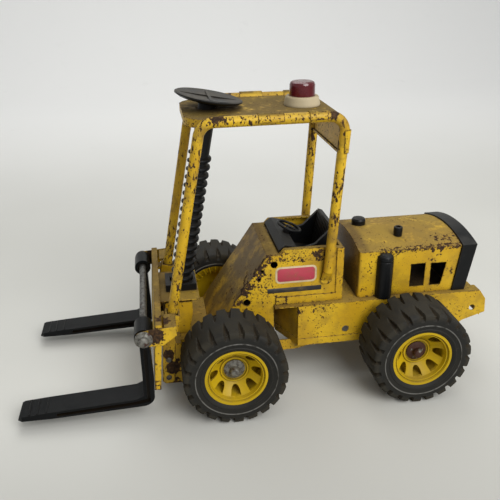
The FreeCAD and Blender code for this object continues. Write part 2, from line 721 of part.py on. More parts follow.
def lift_screw():
    """Moulded screw on the mast frame: shaft, thread and lower journal."""
    body = new_body("Screw")
    sketch = sketch_on(body, "XZ_Plane")
    outline(sketch, [(0, 76), ("journal", 76), ("journal", "thread_low - 5"),
                     ("screw_root - 1", "thread_low - 5"), ("screw_root", "thread_low - 4"),
                     ("screw_root", 296), ("screw_root - 0.8", 296.8), ("neck", 296.8),
                     ("neck", 308.6), (0, 308.6)])
    turned = feature(body, "Revolution", sketch)
    turned.ReferenceAxis = (sketch, ["V_Axis"])
    turned.Angle = 360
    doc.recompute()
    thread = sketch_on(body, "XZ_Plane")
    outline(thread, [("screw_root - 0.5", "thread_low - 2.9"), ("screw_radius - 0.4",
                     "thread_low - 1.5"), ("screw_radius", "thread_low - 0.5"),
                     ("screw_radius", "thread_low + 0.5"), ("screw_radius - 0.4",
                     "thread_low + 1.5"), ("screw_root - 0.5", "thread_low + 2.9")])
    helix = body.newObject("PartDesign::AdditiveHelix", "Thread")
    helix.Profile = thread
    helix.ReferenceAxis = (thread, ["V_Axis"])
    helix.Mode = 0
    bind(helix, Pitch="screw_pitch", Height="thread_high - thread_low")
    doc.recompute()
    return lean(body, "screw_offset")


def lift_knob():
    """Dished disc with a raised cross, pressed on the top of the screw."""
    disc = revolved([(0, 305.6), (11, 305.6), (12, 307.2), (20, 308.2), ("knob_radius - 4", 309.8),
                     ("knob_radius", 312), ("knob_radius", 313.2), ("knob_radius - 1.6", 314),
                     ("knob_radius - 5", 313.4), (10, 312.2), (0, 312.2)])
    bars = [box((56, 3, 1.6), (-28, -1.5, 312)), box((3, 56, 1.6), (-1.5, -28, 312))]
    bore = rod("neck", 3.6, (0, 0, 305))
    return lean(cut(join(disc, *bars), bore), "screw_offset")


def screw_bearing(low, high, bore):
    """Plastic bush round the screw shaft, in its hole in the roof or the mast base."""
    return lean(revolved([(bore, low), ("bush_radius", low), ("bush_radius", high),
                          (bore, high)]), "screw_offset")


def plate_y(height, depth):
    """Where the tilted carriage plate stands at a height, and a depth behind its face."""
    return f"rod_y + hub_radius + 1.6 + plate_tilt * ({height} - rod_z) + {depth}"


def carriage_plate():
    """Wide pressed plate behind the forks with returned edges, rod ears and sleeve tabs."""
    outer = side_prism([(plate_y("plate_low", 0), "plate_low"),
                        (plate_y("plate_high", 0), "plate_high"),
                        (plate_y("plate_high", 6.5), "plate_high"),
                        (plate_y("plate_low", 6.5), "plate_low")], "plate_half")
    pan = side_prism([(plate_y("plate_low - 9", 1.2), "plate_low - 9"),
                      (plate_y("plate_high - sheet", 1.2), "plate_high - sheet"),
                      (plate_y("plate_high - sheet", 16), "plate_high - sheet"),
                      (plate_y("plate_low - 9", 16), "plate_low - 9")], "plate_half - sheet")
    extras = []
    for side in (-1, 1):
        ear = prism("YZ_Plane", [("rod_y - 7", "rod_z - 6"), ("rod_y - 7", "rod_z + 6"),
                                 ("rod_y + 4", "rod_z + 9"), ("rod_y + 32", "rod_z + 11"),
                                 ("rod_y + 32", "rod_z + 1"), ("rod_y + 18", "rod_z - 9"),
                                 ("rod_y + 4", "rod_z - 9")], 1.8,
                    f"{side} * (plate_half + 0.9)")
        round_edges(ear, 4, lambda edge: is_along(edge, (1, 0, 0))
                    and edge.BoundBox.YMax < value("rod_y"))
        inboard, outboard = "tube_half + 7.5", "plate_half + 1.8"
        arm = box((f"{outboard} - ({inboard})", 12, 1.6),
                  (inboard if side > 0 else f"-({outboard})", "rod_y + 20", "rod_z + 8"))
        tab = box((12, 14, 4), (f"{side} * tube_half - 6", plate_y(98, 1), 97))
        sleeve_room = place(box((16, 60, 200), (0, 0, 0)),
                            (f"{side} * tube_half - 8", "mast_foot_y - 7.5 * cos(mast_lean)",
                             "7.5 * sin(mast_lean)"), (1, 0, 0), -value("mast_lean"))
        extras += [ear, arm, cut(tab, sleeve_room)]
    bore = cross_rod("rod_radius + 0.05", 110, "rod_y", "rod_z")
    return cut(join(cut(outer, pan), *extras), bore)


def guide_sleeve(side):
    """Open-ended box that slides on a front leg of the roll frame."""
    low, high = 85, 104
    outer = box((15, 15, high - low), (f"{side} * tube_half - 7.5", -7.5, low))
    bore_half = "(tube_radius + play)"
    inner = box((f"2 * {bore_half}", f"2 * {bore_half}", 40),
                (f"{side} * tube_half - {bore_half}", f"-{bore_half}", low - 10))
    return lean(cut(outer, inner))


def nut_bracket():
    """Flat bracket from the carriage plate back round the screw, under the nut."""
    front = plate_y(102, 1.2)
    plate = box((72, f"-63 - ({front})", "sheet"), (-36, front, 101))
    room = lean(rod("screw_radius + 1", 140, (0, 0, 0)), "screw_offset")
    return cut(plate, room)


def lift_nut():
    """Square nut that climbs the screw, standing on its bracket."""
    block = box((31, 33, 8), (-15.5, -97.5, "101 + sheet"))
    bore = lean(rod("screw_radius + play", 140, (0, 0, 0)), "screw_offset")
    return cut(block, bore)


def fork(side):
    """Moulded tine with a shank, a hub on the rod, ribbed toe and hollow flanks."""
    shape = prism("YZ_Plane", [
        (-252, 12.5), (-250, 17.6), (-224, 19.6), (-135, 24.6), ("rod_y - 4.6", 28),
        ("rod_y - 4.6", "rod_z"), ("rod_y + 4.6", "rod_z"), ("rod_y + 6", 30),
        ("rod_y + 6", 17), (-133, 15.4), (-218, 12.2)], "fork_width")
    round_edges(shape, 11, lambda edge: is_along(edge, (1, 0, 0))
                and edge.BoundBox.YMax > value("rod_y + 5") and edge.BoundBox.ZMax < 18)
    hub = cross_rod("hub_radius", "fork_width / 2", "rod_y", "rod_z")
    toe = prism("XY_Plane", [(-14, -247), (-9.5, -253), (9.5, -253), (14, -247), (14, -100),
                             (-14, -100)], 300)
    trimmed = join(common(shape, toe), hub)
    flanks = []
    for flip in (-1, 1):
        flank = prism("YZ_Plane", [(-214, 14.4), (-137, 18.0), ("rod_y + 1.5", 20),
                                   ("rod_y + 2.5", 82), ("rod_y - 1.5", 82),
                                   ("rod_y - 1.5", 24.6), (-137, 22.0), (-214, 17.6)], 9,
                      f"{flip} * 13.8")
        flanks.append(flank)
        flanks.append(rod(6.2, 2.6, (f"{flip} * (fork_width / 2 - 1.3) - 1.3", "rod_y",
                                     "rod_z"), (1, 0, 0)))
    ridges = [rod(1.3, 25, (-12.5, y, 17.9 + 0.06 * (y + 240)), (1, 0, 0))
              for y in (-240.5, -232.5, -223.5)]
    bore = cross_rod("rod_radius + 0.06", 20, "rod_y", "rod_z")
    return place(cut(join(trimmed, *ridges), *flanks, bore), (f"{side} * fork_middle", 0, 0))


# --- assembly ------------------------------------------------------------------------------

piece("chassis_frame", chassis_frame())
piece("rear_crossmember", rear_crossmember())
piece("mast_base", mast_base())
piece("cab_tub", cab_tub())
piece("roll_frame_left", roll_frame_tube(1))
piece("roll_frame_right", roll_frame_tube(-1))
piece("roof_plate", roof_plate())
piece("tube_rivets", tube_rivets())
piece("cab_moulding", cab_moulding())
piece("steering_wheel", steering_wheel())
piece("hood", hood())
piece("radiator_grille", radiator_grille())
piece("air_cleaner", air_cleaner())
piece("filler_cap", filler_cap())
piece("exhaust_stub", exhaust_stub())
piece("beacon_base", beacon_base())
piece("beacon_lens", beacon_lens())
piece("front_axle", axle("front_axle_y"))
piece("rear_axle", axle("rear_axle_y"))
piece("axle_caps", rod_caps("axle_rod", 10.6, "axle_end", [("front_axle_y", "axle_height"),
                                                            ("rear_axle_y", "axle_height")]))
for end, axle_y in (("front", "front_axle_y"), ("rear", "rear_axle_y")):
    for hand, sign in (("left", 1), ("right", -1)):
        piece(f"tyre_{end}_{hand}", tyre(sign, axle_y))
        piece(f"rim_{end}_{hand}", rim(sign, axle_y))
piece("lift_screw", lift_screw())
piece("lift_knob", lift_knob())
piece("screw_bearing_top", screw_bearing(297.4, 305.3, "neck + 0.06"))
piece("screw_bearing_foot", screw_bearing(86, 102, "journal + 0.06"))
piece("carriage_plate", carriage_plate())
piece("guide_sleeve_left", guide_sleeve(1))
piece("guide_sleeve_right", guide_sleeve(-1))
piece("nut_bracket", nut_bracket())
piece("lift_nut", lift_nut())
piece("fork_rod", cross_rod("rod_radius", "rod_end", "rod_y", "rod_z"))
piece("fork_rod_caps", rod_caps("rod_radius", 8.7, "rod_end", [("rod_y", "rod_z")]))
piece("fork_left", fork(1))
piece("fork_right", fork(-1))

doc.recompute()
for item in doc.Objects:
    if "Invalid" in item.State or "Error" in item.State:
        raise RuntimeError(f"{item.Name} ({item.Label}) failed: {item.State}")
for item in pieces:
    if item.Shape.isNull() or not item.Shape.isValid():
        raise RuntimeError(f"{item.Label} has no valid shape")

os.makedirs("parts", exist_ok=True)
for item in pieces:
    item.Shape.exportStep(f"parts/{item.Label}.step")
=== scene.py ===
import math

import bmesh
import bpy
from mathutils import Matrix, Vector


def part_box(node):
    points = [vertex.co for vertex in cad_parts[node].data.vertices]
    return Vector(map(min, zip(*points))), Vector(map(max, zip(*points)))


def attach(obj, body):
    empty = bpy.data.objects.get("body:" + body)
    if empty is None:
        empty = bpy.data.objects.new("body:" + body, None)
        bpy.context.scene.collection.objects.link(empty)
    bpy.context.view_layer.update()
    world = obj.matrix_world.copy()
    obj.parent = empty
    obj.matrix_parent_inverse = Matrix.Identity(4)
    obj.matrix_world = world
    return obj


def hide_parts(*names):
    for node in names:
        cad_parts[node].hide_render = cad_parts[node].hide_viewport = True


# Worn pressed-steel toy forklift. Metres; +Z up, the forks point along -Y, +X is the toy's left.

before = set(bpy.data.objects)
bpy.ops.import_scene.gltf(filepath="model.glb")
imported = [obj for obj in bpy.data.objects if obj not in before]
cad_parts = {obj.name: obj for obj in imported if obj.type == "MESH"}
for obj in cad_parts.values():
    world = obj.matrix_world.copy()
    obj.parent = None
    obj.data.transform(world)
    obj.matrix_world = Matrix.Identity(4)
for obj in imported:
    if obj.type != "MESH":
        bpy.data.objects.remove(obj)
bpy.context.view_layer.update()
MM = 0.001

# Linear colours.
PAINT_BRIGHT = (0.640, 0.400, 0.014, 1)
PAINT_DEEP = (0.500, 0.290, 0.010, 1)
PAINT_SOIL = (0.215, 0.128, 0.022, 1)
DUST_TAN = (0.150, 0.103, 0.030, 1)
DUST_OLIVE = (0.095, 0.064, 0.017, 1)
# Dark brown for dirt and painted shade in corners and between parts.
GRIME_AND_SHADE = (0.052, 0.030, 0.010, 1)
# Brown for smudges, also painted shade on the front faces of the cab and hood.
SMUDGE_AND_SHADE = (0.100, 0.060, 0.015, 1)
RUST_DARK = (0.026, 0.0125, 0.0055, 1)
RUST_WARM = (0.078, 0.038, 0.0125, 1)
RUST_STAIN = (0.200, 0.100, 0.020, 1)
RIM_YELLOW = (0.520, 0.345, 0.006, 1)
BLACK = (0.0045, 0.005, 0.0055, 1)
BLACK_DUST = (0.048, 0.046, 0.041, 1)
RUBBER = (0.011, 0.011, 0.010, 1)
RUBBER_DUST = (0.048, 0.041, 0.027, 1)
RUBBER_PALE = (0.170, 0.165, 0.150, 1)
ROD_STEEL = (0.165, 0.162, 0.148, 1)
ROD_DARK = (0.075, 0.072, 0.064, 1)
ZINC = (0.200, 0.194, 0.170, 1)
ZINC_DARK = (0.085, 0.076, 0.062, 1)
CAP_RUST = (0.062, 0.026, 0.018, 1)
KNOB_DUST = (0.078, 0.070, 0.056, 1)
CREAM = (0.50, 0.42, 0.27, 1)
CREAM_DUST = (0.22, 0.16, 0.08, 1)
RIM_DUST = (0.26, 0.17, 0.03, 1)
LENS_RED = (0.112, 0.001, 0.006, 1)
LENS_DUST = (0.120, 0.060, 0.052, 1)
STICKER_RED = (0.42, 0.040, 0.065, 1)
STICKER_CREAM = (0.62, 0.50, 0.30, 1)
STICKER_BLACK = (0.012, 0.011, 0.010, 1)
PAPER = (0.545, 0.54, 0.497, 1)
PAPER_LIGHT = (0.585, 0.58, 0.537, 1)
# Darker paper near the camera is painted shade; lighter paper far back is painted light.
PAPER_NEAR_SHADED = (0.412, 0.407, 0.375, 1)
PAPER_FAR_LIT = (0.93, 0.925, 0.90, 1)
PAPER_SCUFF = (0.42, 0.41, 0.38, 1)
SKY = (0.90, 0.92, 0.94, 1)


# --- materials -------------------------------------------------------------------------------

class Shade:
    """One material's node tree, built up towards its Principled shader."""

    def __init__(self, name):
        self.material = bpy.data.materials.new(name)
        self.material.use_nodes = True
        self.tree = self.material.node_tree
        self.shader = self.tree.nodes["Principled BSDF"]
        coordinates = self.node("TexCoord")
        self.place = coordinates.outputs["Object"]
        self.normal = coordinates.outputs["Normal"]

    def node(self, kind, inputs=None, **settings):
        made = self.tree.nodes.new("ShaderNode" + kind)
        for name, setting in settings.items():
            setattr(made, name, setting)
        for name, entry in (inputs or {}).items():
            self.feed(made.inputs[name], entry)
        return made

    def feed(self, socket, entry):
        if isinstance(entry, bpy.types.NodeSocket):
            self.tree.links.new(entry, socket)
        else:
            socket.default_value = entry

    def math(self, operation, first, second=0.0):
        return self.node("Math", {0: first, 1: second}, operation=operation).outputs[0]

    def total(self, *terms):
        result = terms[0]
        for term in terms[1:]:
            result = self.math("ADD", result, term)
        return result

    def scaled(self, entry, factor):
        return self.math("MULTIPLY", entry, factor)

    def noise(self, size, detail=2.0, roughness=0.5, stretch=None):
        """Smooth noise about 0.5, with features of about the size given in metres."""
        place = self.place
        if stretch:
            place = self.node("Mapping", {"Vector": place, "Scale": stretch}).outputs[0]
        made = self.node("TexNoise", {"Vector": place, "Scale": 1 / size, "Detail": detail,
                                      "Roughness": roughness})
        return made.outputs["Fac"]

    def step(self, entry, low, high):
        """0 below low, 1 above high, smooth between."""
        return self.node("MapRange", {"Value": entry, "From Min": low, "From Max": high},
                         interpolation_type="SMOOTHSTEP").outputs[0]

    def mix(self, factor, first, second):
        made = self.node("Mix", data_type="RGBA")
        self.feed(made.inputs["Factor"], factor)
        self.feed(made.inputs[6], first)
        self.feed(made.inputs[7], second)
        return made.outputs[2]

    def component(self, vector, axis):
        return self.node("SeparateXYZ", {0: vector}).outputs[axis]

    def upward(self, low=0.45, high=0.95):
        return self.step(self.component(self.normal, 2), low, high)

    def edge(self, radius):
        """How far the surface turns within the radius: 0 on flats, towards 1 at sharp edges."""
        rounded = self.node("Bevel", {"Radius": radius}, samples=4).outputs[0]
        straight = self.node("NewGeometry").outputs["Normal"]
        turn = self.node("VectorMath", {0: rounded, 1: straight}, operation="DOT_PRODUCT")
        return self.step(self.math("SUBTRACT", 1.0, turn.outputs["Value"]), 0.004, 0.12)

    def crevice(self, distance):
        """1 in tight corners, 0 in the open."""
        shade = self.node("AmbientOcclusion", {"Distance": distance}, samples=4)
        return self.step(self.math("SUBTRACT", 1.0, shade.outputs["AO"]), 0.25, 0.85)

    def enclosed(self, distance):
        """1 where nearly all directions are blocked within the distance."""
        shade = self.node("AmbientOcclusion", {"Distance": distance}, samples=6)
        return self.step(self.math("SUBTRACT", 1.0, shade.outputs["AO"]), 0.62, 0.86)

    def within(self, low, high, soft=4.0):
        """1 inside a box given in millimetres, fading to 0 over the soft distance outside."""
        inside = 1.0
        for axis in range(3):
            at = self.component(self.place, axis)
            rising = self.step(at, (low[axis] - soft) * MM, low[axis] * MM)
            falling = self.step(at, (high[axis] + soft) * MM, high[axis] * MM)
            inside = self.math("MULTIPLY", inside, self.math("MULTIPLY", rising, falling))
        return inside

    def near(self, spot, radius):
        """1 at a spot in millimetres, 0 beyond the radius."""
        away = self.node("VectorMath", {0: self.place, 1: [c * MM for c in spot]},
                         operation="DISTANCE").outputs["Value"]
        return self.step(away, radius * MM, radius * MM * 0.35)

    def bump(self, height, distance, strength=1.0, base=None):
        made = self.node("Bump", {"Height": height, "Distance": distance,
                                  "Strength": strength})
        if base is not None:
            self.feed(made.inputs["Normal"], base)
        return made.outputs[0]

    def finish(self, **sockets):
        for name, entry in sockets.items():
            self.feed(self.shader.inputs[name.replace("_", " ")], entry)
        return self.material


def enamel(name, dust=0.7, dust_colour=DUST_TAN, chips=0.0, specks=0.0, blooms=(), bands=(),
           soiled_and_shaded=(), shift=0.0, seams=0.06, grain=None, shaded_hollows=(), wear=0.42):
    """Old yellow enamel: dirty, dusty on top, darkened in corners by dirt and painted shade, rust
    where it has chipped.

    blooms are (spot, radius, strength) and bands (low corner, high corner, strength) where the
    paint has chipped more; soiled are (low corner, high corner, strength) of brown smudges and
    painted shade, kept off faces turned sideways; seams is how far rust grows out of tight
    joints; grain stretches the chips; hollows are boxes in which closed-in surfaces get painted
    shade in the dark rust colour; wear is the strength of the dirt film.
    """
    s = Shade(name)
    paint = s.mix(s.step(s.noise(0.05 + shift), 0.35, 0.65), PAINT_DEEP, PAINT_BRIGHT)
    cloud = s.noise(0.022, detail=4)
    film = s.scaled(s.step(s.noise(0.013 + shift, detail=6, roughness=0.68), 0.42, 0.70), wear)
    colour = s.mix(film, paint, PAINT_SOIL)
    settled = s.total(s.scaled(cloud, 0.5), s.scaled(s.noise(0.005, detail=4), 0.5))
    lying = s.scaled(s.upward(), s.step(settled, 0.20, 0.50))
    sideways = s.step(s.math("ABSOLUTE", s.component(s.normal, 0)), 0.5, 0.9)
    dusty = s.scaled(lying, dust)
    colour = s.mix(dusty, colour, dust_colour)
    # Brown smudges and painted shade inside the given boxes, kept off faces turned sideways.
    for low, high, strength in soiled_and_shaded:
        smudge_and_shade = s.scaled(s.step(s.noise(0.024, detail=7, roughness=0.58), 0.26, 0.56), strength)
        where = s.math("MULTIPLY", s.within(low, high, 8), s.math("SUBTRACT", 1.0, sideways))
        colour = s.mix(s.math("MULTIPLY", smudge_and_shade, where), colour, SMUDGE_AND_SHADE)
    # Dirt and painted shade in corners and between parts, from ambient occlusion.
    colour = s.mix(s.scaled(s.crevice(0.010), 0.82), colour, GRIME_AND_SHADE)

    field = s.noise(0.045 + shift)
    worn = s.total(s.noise(0.0042 + shift * 0.05, detail=5, roughness=0.60, stretch=grain),
                   s.scaled(s.edge(0.0020), 0.15), s.scaled(s.crevice(0.0022), seams),
                   s.scaled(field, 0.28), chips - 0.14)
    fine = s.total(s.noise(0.0019, detail=2, stretch=grain), s.scaled(field, 0.30), specks - 0.15)
    for spot, radius, strength in blooms:
        worn = s.math("ADD", worn, s.scaled(s.near(spot, radius), strength))
    for low, high, strength in bands:
        more = s.scaled(s.within(low, high), strength)
        worn, fine = s.math("ADD", worn, more), s.math("ADD", fine, more)
    worn = s.math("MAXIMUM", worn, s.math("ADD", fine, -0.012))
    stain = s.step(worn, 0.645, 0.70)
    chip = s.step(worn, 0.692, 0.702)
    rust = s.mix(s.step(s.noise(0.003, detail=4), 0.42, 0.66), RUST_DARK, RUST_WARM)
    colour = s.mix(s.scaled(stain, 0.6), colour, RUST_STAIN)
    colour = s.mix(chip, colour, rust)
    # Painted shade on closed-in surfaces inside the given boxes, in the dark rust colour.
    for low, high in shaded_hollows:
        hollow_shade = s.math("MULTIPLY", s.enclosed(0.12), s.within(low, high, 0.5))
        colour = s.mix(hollow_shade, colour, RUST_DARK)

    rough = s.total(0.38, s.scaled(cloud, 0.12), s.scaled(dusty, 0.45),
                    s.scaled(chip, 0.38))
    skin = s.bump(s.noise(0.0022, detail=3), 0.00012, 0.35)
    dents = s.bump(s.noise(0.03), 0.0011, 0.3, skin)
    relief = s.bump(s.total(s.scaled(chip, -1.0), s.scaled(s.noise(0.0012), 0.5)),
                    0.00022, 0.8, dents)
    return s.finish(Base_Color=colour, Roughness=rough, Normal=relief, Specular_IOR_Level=0.3)


def moulded(name, colour, dust_colour, dust=0.5, rough=0.40, grime_and_shade=0.3, edge_light=0.25,
            shine=0.2):
    """Moulded plastic with handling marks, dust on top faces, and dirt and painted shade in
    corners.
    """
    s = Shade(name)
    cloud = s.noise(0.02, detail=4)
    tone = s.mix(s.step(s.noise(0.035), 0.3, 0.7), [c * 0.82 for c in colour[:3]] + [1], colour)
    dusty = s.scaled(s.scaled(s.upward(0.3, 0.95), s.step(cloud, 0.25, 0.65)), dust)
    film = s.scaled(s.step(s.noise(0.006, detail=5, roughness=0.7), 0.55, 0.8), 0.35 * dust)
    specks = s.scaled(s.step(s.noise(0.0011, detail=1), 0.69, 0.74), 0.5 * dust)
    light = s.scaled(s.edge(0.0018), edge_light)
    covered = s.math("MAXIMUM", s.math("MAXIMUM", dusty, film), s.math("MAXIMUM", specks, light))
    shown = s.mix(covered, tone, dust_colour)
    # Dirt and painted shade in corners and between parts, from ambient occlusion.
    shown = s.mix(s.scaled(s.crevice(0.006), grime_and_shade), shown, GRIME_AND_SHADE)
    scratch = s.noise(0.004, detail=4, stretch=(1, 0.12, 1))
    roughness = s.total(rough - 0.06, s.scaled(cloud, 0.12), s.scaled(covered, 0.3))
    grain = s.bump(s.noise(0.0009, detail=2), 0.00006, 0.5)
    relief = s.bump(scratch, 0.00008, 0.4, grain)
    return s.finish(Base_Color=shown, Roughness=roughness, Normal=relief,
                    Specular_IOR_Level=shine)


def tyre_rubber():
    """Soft black tyre: brown dust worn into the tread, a pale scuffed ring on the sidewall."""
    s = Shade("tyre_rubber")
    across = s.component(s.place, 0)
    up, along = s.component(s.place, 2), s.component(s.place, 1)
    radius = s.math("SQRT", s.total(s.math("MULTIPLY", up, up), s.math("MULTIPLY", along, along)))
    tread = s.step(radius, 0.0455, 0.0485)
    cloud = s.noise(0.018, detail=5, roughness=0.6)
    dusty = s.scaled(s.total(s.scaled(tread, 0.40), 0.16), s.step(cloud, 0.24, 0.66))
    specks = s.scaled(s.step(s.noise(0.0014, detail=2), 0.655, 0.72), 0.50)
    wear = s.scaled(s.edge(0.0020), 0.14)
    colour = s.mix(s.math("MAXIMUM", s.math("ADD", dusty, wear), specks), RUBBER, RUBBER_DUST)
    side = s.step(s.math("ABSOLUTE", across), 0.0262, 0.0267)
    ring = s.scaled(side, s.step(s.noise(0.010, detail=3), 0.30, 0.55))
    colour = s.mix(s.scaled(ring, 0.75), colour, RUBBER_PALE)
    # Dirt and painted shade in corners and between parts, from ambient occlusion.
    colour = s.mix(s.scaled(s.crevice(0.008), 0.6), colour, GRIME_AND_SHADE)
    rough = s.total(0.50, s.scaled(cloud, 0.15), s.scaled(dusty, 0.45))
    relief = s.bump(s.noise(0.0014, detail=3), 0.00015, 0.5)
    return s.finish(Base_Color=colour, Roughness=rough, Normal=relief, Specular_IOR_Level=0.2)


def plated(name, bright=ZINC, dark=ZINC_DARK, rust=0.0, metallic=0.75, rusted=None):
    """Dull plated steel with dark spots and a little rust, more inside the rusted box."""
    s = Shade(name)
    spots = s.step(s.noise(0.004, detail=5, roughness=0.65), 0.40, 0.64)
    colour = s.mix(spots, bright, dark)
    worn = s.total(s.noise(0.007, detail=4), s.scaled(s.crevice(0.004), 0.10), rust)
    if rusted:
        worn = s.math("ADD", worn, s.scaled(s.within(*rusted), 0.24))
    colour = s.mix(s.step(worn, 0.60, 0.68), colour, CAP_RUST)
    rough = s.total(0.38, s.scaled(spots, 0.25), s.scaled(s.noise(0.0015), 0.15))
    relief = s.bump(s.noise(0.0018, detail=4), 0.00014, 0.8)
    return s.finish(Base_Color=colour, Roughness=rough, Normal=relief, Metallic=metallic)


def red_lens():
    """Dusty translucent red plastic."""
    s = Shade("red_lens")
    cloud = s.noise(0.012, detail=4)
    dusty = s.scaled(s.total(s.scaled(s.upward(0.2, 0.9), 0.6), 0.06), s.step(cloud, 0.3, 0.7))
    colour = s.mix(dusty, LENS_RED, LENS_DUST)
    rough = s.total(0.16, s.scaled(dusty, 0.6))
    relief = s.bump(s.noise(0.003, detail=3), 0.0001, 0.4)
    return s.finish(Base_Color=colour, Roughness=rough, Normal=relief,
                    Transmission_Weight=0.25, IOR=1.49, Coat_Weight=0.4, Coat_Roughness=0.15)


def printed(name, ink):
    """Sticker film: flat ink, scuffed through to the paint in places."""
    s = Shade(name)
    scuff = s.step(s.total(s.noise(0.004, detail=5, roughness=0.65),
                           s.scaled(s.noise(0.02), 0.3)), 0.84, 0.88)
    soil = s.scaled(s.step(s.noise(0.008, detail=4), 0.42, 0.75), 0.35)
    colour = s.mix(soil, ink, DUST_TAN)
    colour = s.mix(scuff, colour, PAINT_BRIGHT)
    rough = s.total(0.38, s.scaled(soil, 0.8))
    relief = s.bump(s.noise(0.003, detail=3), 0.00005, 0.5)
    return s.finish(Base_Color=colour, Roughness=rough, Normal=relief)


# --- meshes ----------------------------------------------------------------------------------

def new_piece(name, bm, material, body, smooth_angle=40):
    """Turn a bmesh in the row frame into a visible piece that rides on a body."""
    mesh = bpy.data.meshes.new(name)
    bmesh.ops.recalc_face_normals(bm, faces=bm.faces)
    bm.to_mesh(mesh)
    bm.free()
    return show(name, mesh, material, body, smooth_angle=smooth_angle)


def show(name, mesh, material, body, placement=None, smooth_angle=40):
    obj = bpy.data.objects.new(name, mesh)
    bpy.context.scene.collection.objects.link(obj)
    if placement:
        obj.matrix_world = placement
    if not mesh.materials:
        mesh.materials.append(material)
    mesh.shade_smooth()
    mesh.set_sharp_from_angle(angle=math.radians(smooth_angle))
    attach(obj, body)
    return obj


def dress(node, material, bevel=0.6, segments=2, angle=30):
    """Give a CAD node its material, soft edges and smooth shading."""
    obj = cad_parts[node]
    obj.data.materials.clear()
    obj.data.materials.append(material)
    weld = obj.modifiers.new("weld", "WELD")
    weld.merge_threshold = 0.00001
    if bevel:
        edge = obj.modifiers.new("soft_edges", "BEVEL")
        edge.width = bevel * MM
        edge.segments = segments
        edge.limit_method = "ANGLE"
        edge.angle_limit = math.radians(angle)
        edge.use_clamp_overlap = True
    smooth = obj.modifiers.new("normals", "WEIGHTED_NORMAL")
    smooth.keep_sharp = False
    obj.data.shade_smooth()
    return obj


# Tyre, on its own axle line along X, millimetres.
TYRE_RADIUS = 52.5
LUGS = 22
LUG_STEPS = 20
GROOVE_DEPTH = 3.6


def tyre_profile():
    """(radius, across, groove share) round the outside of the tyre, outer bead to inner bead."""
    half = [(30.4, 22.7, 0), (31.6, 24.2, 0), (33.2, 25.0, 0), (34.4, 25.9, 0), (35.4, 26.0, 0),
            (36.2, 25.5, 0), (38.8, 25.9, 0), (39.9, 26.1, 0), (40.3, 26.8, 0), (41.0, 26.8, 0),
            (41.4, 26.2, 0), (45.2, 26.1, 0), (46.4, 26.0, 0.55), (47.6, 25.9, 0.95),
            (49.6, 25.7, 1), (51.2, 25.0, 1), (52.0, 24.0, 1), (52.3, 22.6, 1),
            (52.4, 19.5, 1), (52.45, 16.5, 1), (52.5, 14.0, 1), (52.5, 11.5, 0.9),
            (52.5, 9.0, 0.75), (52.5, 6.5, 0.5), (52.5, 4.0, 0.2), (52.5, 2.0, 0)]
    middle = [(52.5, 0.0, 0)]
    inner = [(r, -w, g) for r, w, g in reversed(half)]
    inner = [(max(r, 37.2), w, g) for r, w, g in inner]
    return half + middle + inner


def groove(turn, across):
    """Share of the groove depth at a place on the tread: 1 in a groove, 0 on a lug."""
    pitch = 2 * math.pi * TYRE_RADIUS / LUGS
    offset = 0 if across > 0 else 0.5
    out = min(max((abs(across) - 4) / 18, 0), 1)
    centre, half_width = 0.2 + 0.5 * out, 0.45 + 1.85 * out
    along = ((turn * LUGS / (2 * math.pi) + offset) % 1) * pitch
    away = abs((along - centre + pitch / 2) % pitch - pitch / 2)
    soft = min(max((half_width + 0.45 - away) / 0.9, 0), 1)
    return soft * soft * (3 - 2 * soft)


def tyre_mesh(start):
    """Tyre with its first lug turned by the start angle."""
    profile = tyre_profile()
    bm = bmesh.new()
    count = LUGS * LUG_STEPS
    rings = []
    for k in range(count):
        turn = 2 * math.pi * k / count
        at = turn + start
        ring = []
        for i, (radius, across, share) in enumerate(profile):
            before, after = profile[max(i - 1, 0)], profile[min(i + 1, len(profile) - 1)]
            run = Vector((after[0] - before[0], after[1] - before[1])).normalized()
            sink = GROOVE_DEPTH * share * groove(turn, across)
            r = radius - sink * abs(run.y)
            w = across - math.copysign(sink * abs(run.x), across) if across else 0
            ring.append(bm.verts.new((w * MM, math.sin(at) * r * MM, math.cos(at) * r * MM)))
        rings.append(ring)
    for k in range(count):
        here, there = rings[k], rings[(k + 1) % count]
        for i in range(len(profile) - 1):
            bm.faces.new((here[i], here[i + 1], there[i + 1], there[i]))
        # the hidden side against the rim
        bm.faces.new((here[-1], here[0], there[0], there[-1]))
    mesh = bpy.data.meshes.new("tyre")
    bmesh.ops.recalc_face_normals(bm, faces=bm.faces)
    bm.to_mesh(mesh)
    bm.free()
    return mesh


def build_tyres():
    rubber = tyre_rubber()
    turns = {"front_left": 0.10, "front_right": 0.9, "rear_left": 0.45, "rear_right": 1.7}
    for name, turn in turns.items():
        low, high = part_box("tyre_" + name)
        side = 1 if "left" in name else -1
        facing = Matrix.Rotation(0 if side > 0 else math.pi, 4, "Z")
        spot = Matrix.Translation((low + high) / 2) @ facing
        tyre = show("rubber_" + name, tyre_mesh(turn), rubber, "wheel_" + name, spot, 35)
        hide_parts("tyre_" + name)


# --- stickers --------------------------------------------------------------------------------

def rounded_rectangle(width, height, radius, steps=6):
    """Outline points (along, up) in millimetres about the middle."""
    points = []
    for k, (sx, sy) in enumerate(((1, 1), (-1, 1), (-1, -1), (1, -1))):
        for i in range(steps + 1):
            angle = math.pi / 2 * (k + i / steps)
            points.append((sx * (width / 2 - radius) + radius * math.cos(angle),
                           sy * (height / 2 - radius) + radius * math.sin(angle)))
    return points


